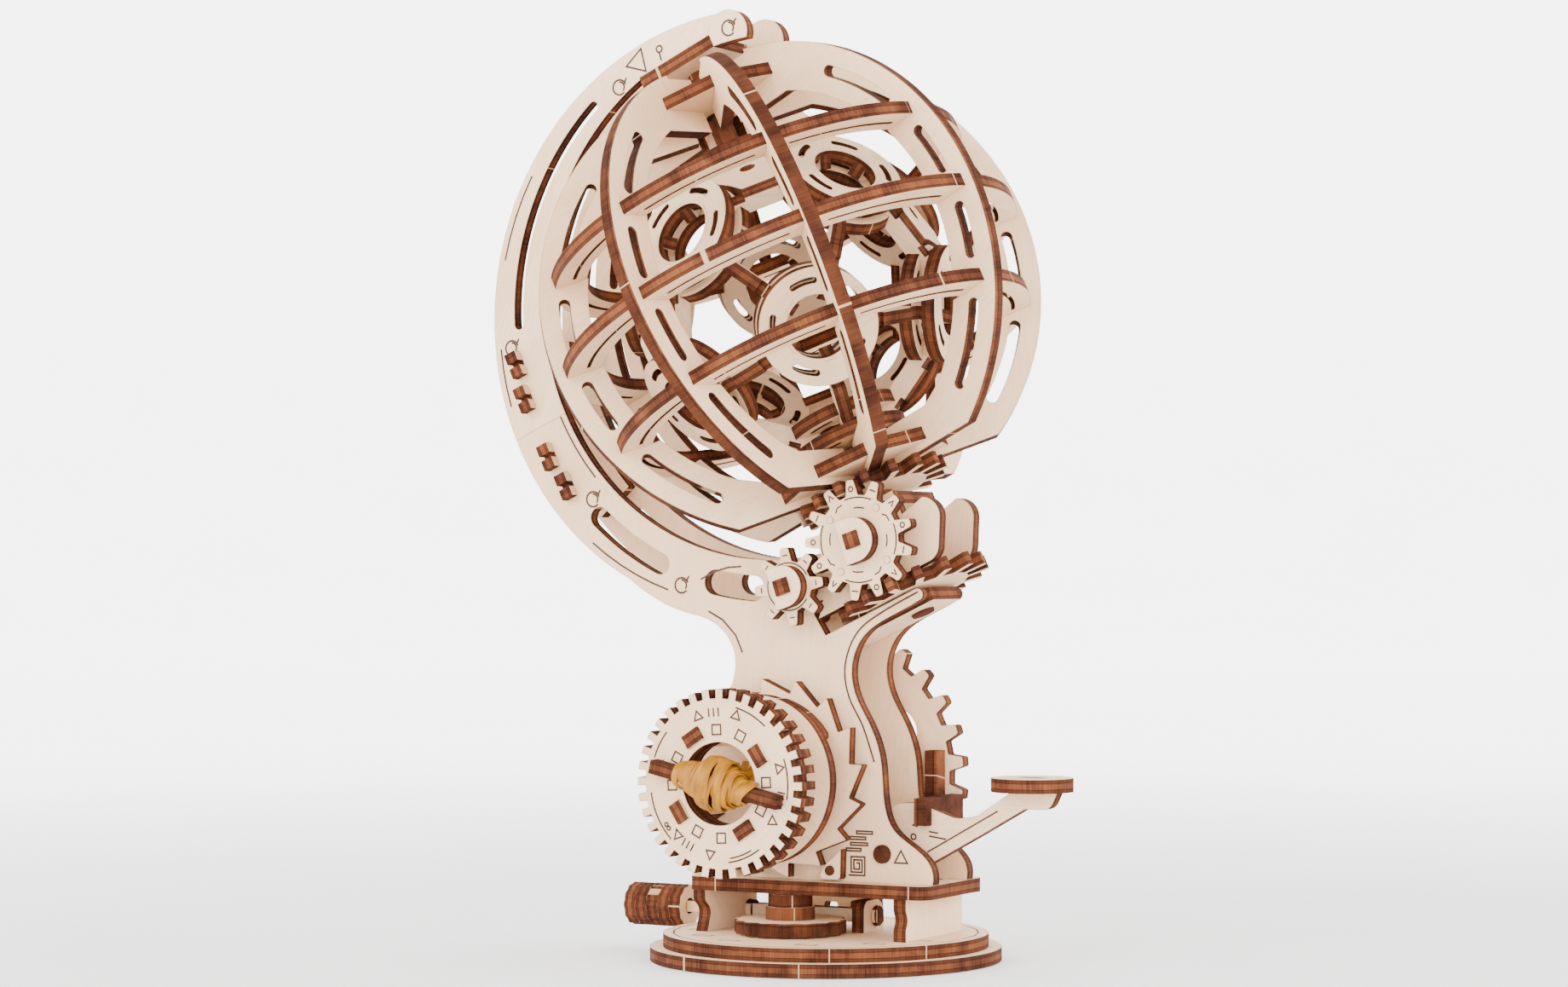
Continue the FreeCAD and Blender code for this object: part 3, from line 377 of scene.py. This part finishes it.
def engrave(name, body, place, lines, width=0.60):
    """Flat scorched ribbons along drawn lines."""
    verts, faces = [], []
    for line in lines:
        pts = [Vector((p[0], p[1])) for p in line]
        closed = (pts[0] - pts[-1]).length < 1e-6
        n = len(pts)
        base = len(verts)
        for i, p in enumerate(pts):
            before = pts[i - 1] if i > 0 else (pts[-2] if closed else p)
            after = pts[i + 1] if i < n - 1 else (pts[1] if closed else p)
            d0 = (p - before).normalized() if (p - before).length > 1e-9 else (after - p).normalized()
            d1 = (after - p).normalized() if (after - p).length > 1e-9 else d0
            mid = (d0 + d1)
            mid = mid.normalized() if mid.length > 1e-6 else d1
            off = Vector((-mid.y, mid.x)) * (width / 2) / max(0.5, mid.dot(d1))
            verts += [place(*(p + off)) * MM, place(*(p - off)) * MM]
        for i in range(n - 1):
            a = base + 2 * i
            faces.append((a, a + 1, a + 3, a + 2))
    mesh = bpy.data.meshes.new(name)
    mesh.from_pydata(verts, [], faces)
    mesh.materials.append(INK)
    obj = bpy.data.objects.new(name, mesh)
    bpy.context.scene.collection.objects.link(obj)
    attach(obj, body)
    return obj


def ring_mark(cx, cz, r=2.3, tick=40):
    """A broken circle with a short tail."""
    tail = [about(cx, cz, r, tick), about(cx, cz, r + 1.5, tick + 8)]
    return [arc(cx, cz, r, 20, 320, 15), arc(cx, cz, r * 0.72, -40, 95, 15), tail]


front_marks = []
for x, z in ((-26.1, 278.7), (-64.5, 263.2), (-103.5, 184.6), (-73.8, 137.5), (-42.3, 111.3)):
    front_marks += ring_mark(x, z)
arc_c = (-19.8, 193.6)
front_marks += [arc(*arc_c, 88.2, 150, 168), arc(*arc_c, 88.2, 186, 198), arc(*arc_c, 88.0, 232, 252)]
front_marks += [arc(GLOBE.x, GLOBE.z, 82.0, 206, 222)]
front_marks += [shape(-58.0, 270.5, 4.2, 3, 75), ring(-50.4, 274.0, 1.0), [(-50.4, 273.0), (-49.6, 270.4)]]
engrave("marks_front_plate", "stand", on_front(), front_marks)
engrave("marks_back_plate", "stand", on_front(13.2), front_marks)

def smooth(points, steps=6):
    """A curve through the points."""
    out = []
    for i in range(len(points) - 1):
        p0, p1, p2 = points[max(0, i - 1)], points[i], points[i + 1]
        p3 = points[min(len(points) - 1, i + 2)]
        for k in range(steps):
            t = k / steps
            out.append(tuple(0.5 * (2 * b + (c - a) * t + (2 * a - 5 * b + 4 * c - d) * t * t
                                    + (3 * b - a - 3 * c + d) * t * t * t)
                             for a, b, c, d in zip(p0, p1, p2, p3)))
    return out + [points[-1]]


def inset(points, distance):
    """The same curve moved to its right-hand side, seen along it."""
    out = []
    for i, p in enumerate(points):
        a, b = points[max(0, i - 1)], points[min(len(points) - 1, i + 1)]
        t = Vector((b[0] - a[0], b[1] - a[1])).normalized()
        out.append((p[0] + t.y * distance, p[1] - t.x * distance))
    return out


# the plate's right-hand waist edge, from the shoulder down
WAIST = [(38.6, 107.6), (27.2, 101.8), (19.5, 96.3), (15.9, 88.0), (16.9, 79.8), (21.6, 71.0), (25.4, 60.5)]
stand_marks = [
    inset(smooth(WAIST), 2.3),
    [(-33.0, 103.6), (-28.0, 101.0), (-23.5, 96.4), (-21.2, 91.3)],
    [(-35.7, 113.1), (-31.0, 115.4), (-26.2, 116.7), (-21.6, 117.0)],
    [(-35.5, 27), (-35.5, 33), (-29.0, 39.5), (-29.0, 68), (-24.5, 76.0)],
]
engrave("marks_stand_front", "stand", on_front(), stand_marks)
lever_marks = [
    [(34.9, 33.1), (57.9, 45.9)],
    [(35.5, 37.9), (41.1, 37.1)],
    [(35.5, 39.2), (38.5, 38.8)],
    [(29.9, 41.0), (31.8, 40.5)],
    ring(30.4, 37.5, 0.8),
]
engrave("marks_lever", "lever", on_front(-2.0), lever_marks, 0.52)


def square_spiral(cx, cz, size, turns):
    pts = []
    x0, x1, z0, z1 = cx - size, cx + size, cz - size, cz + size
    step = size / turns
    for k in range(turns):
        pts += [(x0 + k * step, z0 + k * step), (x1 - k * step, z0 + k * step),
                (x1 - k * step, z1 - k * step),
                (x0 + (k + 1) * step * 0.96, z1 - k * step)]
    return pts


BAR_H = 0.75                 # height of the small stacked bars
small = [shape(32.0, 31.8, 2.4, 3, 90), square_spiral(17.4, 29.2, 2.7, 3)]
for k, (x0, x1) in enumerate(((14.0, 18.8), (15.4, 21.0), (14.6, 20.4), (17.4, 22.6))):
    z = 33.6 + 1.7 * k
    small.append([(x0, z), (x1, z), (x1, z + BAR_H), (x0, z + BAR_H), (x0, z)])
engrave("marks_stand_glyphs", "stand", on_front(), small, 0.55)

base_lines = [ring(0, 0, 45.6)]
for a in (200, 225, 250, 290, 320, 345):
    cx, cz = about(0, 0, 38.0, a)
    corners = ((-3, -1.4), (3, -1.4), (3, 1.4), (-3, 1.4), (-3, -1.4))
    base_lines.append([(cx + dx, cz + dz) for dx, dz in corners])
engrave("marks_base", "stand", on_level(8.0), base_lines)

wheel = []
cx, cz = DRUM
for k in range(12):
    a = 30.0 * k + 3
    if min(abs((a - b + 180) % 360 - 180) for b in (33, 123, 213, 303)) > 12:
        px, pz = about(cx, cz, 15.6, a)
        wheel.append(shape(px, pz, 2.0, 4, a + 45, k % 3 == 1))
for a in (14, 74, 110, 166, 228, 262, 330):
    px, pz = about(cx, cz, 20.4, a)
    wheel.append(shape(px, pz, 1.7, 3, a))
for a0, a1, r in ((-10, 20, 22.7), (48, 76, 22.7), (140, 162, 22.7), (188, 226, 22.9),
                  (278, 306, 22.7), (280, 300, 21.6)):
    wheel.append(arc(cx, cz, r, a0, a1))
for a in (240, 95, 350):
    px, pz = about(cx, cz, 20.6, a)
    for d in (-1.6, 0.0, 1.6):
        qx, qz = about(px, pz, d, a + 90) if d else (px, pz)
        wheel.append([about(qx, qz, 1.3, a), about(qx, qz, -1.3, a)])
for a in (215, 218.5):
    wheel.append(ring(*about(cx, cz, 21.4, a), 0.55))
engrave("marks_winding_wheel", "winding_drum", on_front(-50.0), wheel, 0.52)

gear = []
gx, gz = S2
for k in range(13):
    a = math.degrees(math.atan2(gz - S1[1], gx - S1[0])) + 180 + 360.0 / 13 * k
    px, pz = about(gx, gz, 15.0, a)
    if k % 3 == 0:
        gear.append(ring(px, pz, 0.7))
    elif k % 3 == 1:
        gear.append([about(px, pz, 1.0, a + 130), about(px, pz, 1.0, a), about(px, pz, 1.0, a - 130)])
    else:
        gear.append([about(px, pz, 1.1, a + 90), about(px, pz, 1.1, a - 90)])
for a0 in (70, 160, 250, 340):
    gear.append(arc(gx, gz, 12.4, a0, a0 + 42))
    gear.append(arc(gx, gz, 9.4, a0 + 8, a0 + 30))
    px, pz = about(gx, gz, 11.0, a0 + 56)
    gear.append([about(px, pz, 1.6, a0 - 20), about(px, pz, 0.6, a0 + 80), about(px, pz, 1.6, a0 + 160)])
engrave("marks_front_gear", "second_shaft", on_front(-22.0), gear, 0.46)

pinion = []
for k in range(8):
    a = math.degrees(math.atan2(gz - S1[1], gx - S1[0])) + 22.5 + 45 * k
    px, pz = about(S1[0], S1[1], 9.2, a)
    pinion.append([about(px, pz, 0.9, a + 90), about(px, pz, 0.9, a - 90)])
pinion.append(arc(S1[0], S1[1], 7.0, 30, 330))
engrave("marks_small_gear", "first_shaft", on_front(-22.0), pinion, 0.42)


# ---------- rubber bands ----------
def wound_bands():
    """Flat latex bands wound round the cross bar, with their strands running back to the axle."""
    turn = math.radians(-12.5)
    ex = Vector((math.cos(turn), 0, math.sin(turn)))
    ez = Vector((-math.sin(turn), 0, math.cos(turn)))
    ey = Vector((0, 1, 0))
    middle = Vector((DRUM[0], -51.5, DRUM[1]))
    verts, faces, place, shade = [], [], [], []

    def profile(x):
        return 3.4 + 4.4 * math.exp(-((x - 0.3) / 5.6) ** 2)

    def strip(points, normals, widths, thick, closed, tone):
        """Sweeps a soft flat section along points; normals point out of the winding."""
        section = [(0.5, -0.15), (0.5, 0.2), (0.36, 0.5), (0, 0.56),
                   (-0.36, 0.5), (-0.5, 0.2), (-0.5, -0.15), (0, -0.4)]
        n = len(points)
        start = len(verts)
        run = 0.0
        for i, p in enumerate(points):
            a = points[i - 1] if (i or closed) else p
            b = points[(i + 1) % n] if (i < n - 1 or closed) else p
            t = (b - a).normalized()
            up = (normals[i] - t * normals[i].dot(t)).normalized()
            sd = t.cross(up)
            run += (p - a).length if i else 0.0
            for s, h in section:
                verts.append((p + sd * s * widths + up * h * thick) * MM)
                place.append((run * MM, s * widths * MM, tone * 3))
                shade.append(tone)
        m = len(section)
        for i in range(n if closed else n - 1):
            for j in range(m):
                a = start + i * m + j
                b = start + i * m + (j + 1) % m
                c = start + ((i + 1) % n) * m + (j + 1) % m
                d = start + ((i + 1) % n) * m + j
                faces.append((a, b, c, d))

    pick = random.Random(23)
    for k in range(26):
        x0 = -10.0 + 20.0 * ((k * 7) % 26) / 25.0
        lean = pick.uniform(-2.6, 2.6)
        phase = pick.uniform(0, 6.28)
        lift = pick.uniform(-0.5, 0.35)
        wide = pick.uniform(2.0, 3.4)
        pts, nrm = [], []
        for i in range(40):
            th = 2 * math.pi * i / 40
            x = x0 + lean * math.sin(th + phase) + 0.25 * math.sin(3 * th + phase * 2)
            r = profile(x) + lift + 0.3 * math.sin(2 * th + phase)
            out = ez * math.cos(th) + ey * math.sin(th)
            pts.append(middle + ex * x + out * r)
            nrm.append(out)
        strip(pts, nrm, wide, 0.9, True, pick.random())
    for k in range(12):
        a = 2 * math.pi * k / 12
        pts, nrm = [], []
        for i in range(16):
            s = i / 15.0
            r = 5.4 - 0.5 * math.sin(math.pi * s)
            b = a + 1.3 * s + 0.1 * math.sin(5 * s + k)
            out = ex * math.cos(b) + ez * math.sin(b)
            pts.append(Vector((DRUM[0], -49.0 + 14.6 * s, DRUM[1])) + out * r)
            nrm.append(out)
        strip(pts, nrm, 2.2, 0.9, False, pick.random())
    mesh = bpy.data.meshes.new("wound_rubber_bands")
    mesh.from_pydata(verts, [], faces)
    store(mesh, "band", "FLOAT_VECTOR", "POINT", np.array(place))
    store(mesh, "tone", "FLOAT", "POINT", np.array(shade))
    mesh.materials.append(LATEX)
    mesh.shade_smooth()
    obj = bpy.data.objects.new("wound_rubber_bands", mesh)
    bpy.context.scene.collection.objects.link(obj)
    sub = obj.modifiers.new("soft", "SUBSURF")
    sub.levels = 1
    sub.render_levels = 1
    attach(obj, "winding_drum")
    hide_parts("rubber_bands")


wound_bands()


# ---------- floor and light ----------
def backdrop():
    """A pale floor that curves up into a wall far behind and around, glowing with painted light that grows
    stronger away from the object.
    """
    m = Tree("pale_floor_painted_glow")
    coord = m.t.nodes.new("ShaderNodeTexCoord")
    soft = m.noise(m.scaled(coord.outputs["Object"], (6.0, 6.0, 6.0)), 1.0, 2.0, 0.5, 0.0)
    m.put(m.bsdf.inputs["Base Color"], m.mix(m.ramp(soft, 0.3, 0.7), (0.90, 0.90, 0.90), (0.93, 0.93, 0.93)))
    m.bsdf.inputs["Roughness"].default_value = 0.9
    # painted light: the floor glows, with no glow near the object, rising to strength 2.6 between 0.14 m and
    # 1.3 m out
    far_glow_painted_light = m.math("MULTIPLY", m.ramp(m.vec("LENGTH", coord.outputs["Object"]), 0.14, 1.30), 2.6)
    m.bsdf.inputs["Emission Color"].default_value = (1.0, 1.0, 1.0, 1.0)
    m.put(m.bsdf.inputs["Emission Strength"], far_glow_painted_light)
    verts, faces = [], []
    profile = [(0.0, 0.0), (3.0, 0.0), (3.6, 0.08), (4.1, 0.32), (4.5, 0.75), (4.7, 1.4), (4.8, 4.5)]
    around = 72
    for r, z in profile:
        for i in range(around):
            a = 2 * math.pi * i / around
            verts.append((r * math.cos(a), r * math.sin(a), z - 0.0002))
    for j in range(len(profile) - 1):
        for i in range(around):
            a = j * around + i
            b = j * around + (i + 1) % around
            faces.append((a, b, b + around, a + around))
    mesh = bpy.data.meshes.new("floor")
    mesh.from_pydata(verts, [], faces)
    mesh.shade_smooth()
    mesh.materials.append(m.mat)
    obj = bpy.data.objects.new("floor", mesh)
    bpy.context.scene.collection.objects.link(obj)


backdrop()

world = bpy.data.worlds.new("studio")
world.use_nodes = True
world.node_tree.nodes["Background"].inputs["Color"].default_value = (1.0, 0.985, 0.965, 1)
world.node_tree.nodes["Background"].inputs["Strength"].default_value = 0.35
bpy.context.scene.world = world


def area_light(name, place, target, size, power, colour=(1, 1, 1)):
    data = bpy.data.lights.new(name, "AREA")
    data.shape = "DISK"
    data.size = size
    data.energy = power
    data.color = colour
    obj = bpy.data.objects.new(name, data)
    obj.location = place
    obj.rotation_euler = (Vector(target) - Vector(place)).to_track_quat("-Z", "Y").to_euler()
    bpy.context.scene.collection.objects.link(obj)


area_light("key", (-0.9, -1.5, 1.5), (0, 0, 0.14), 0.7, 17.0, (1.0, 0.97, 0.93))
area_light("fill", (1.7, -1.0, 0.7), (0, 0, 0.14), 1.0, 3.0, (0.98, 0.99, 1.0))
area_light("top", (0.1, 0.5, 1.9), (0, 0, 0.1), 0.8, 5.0)
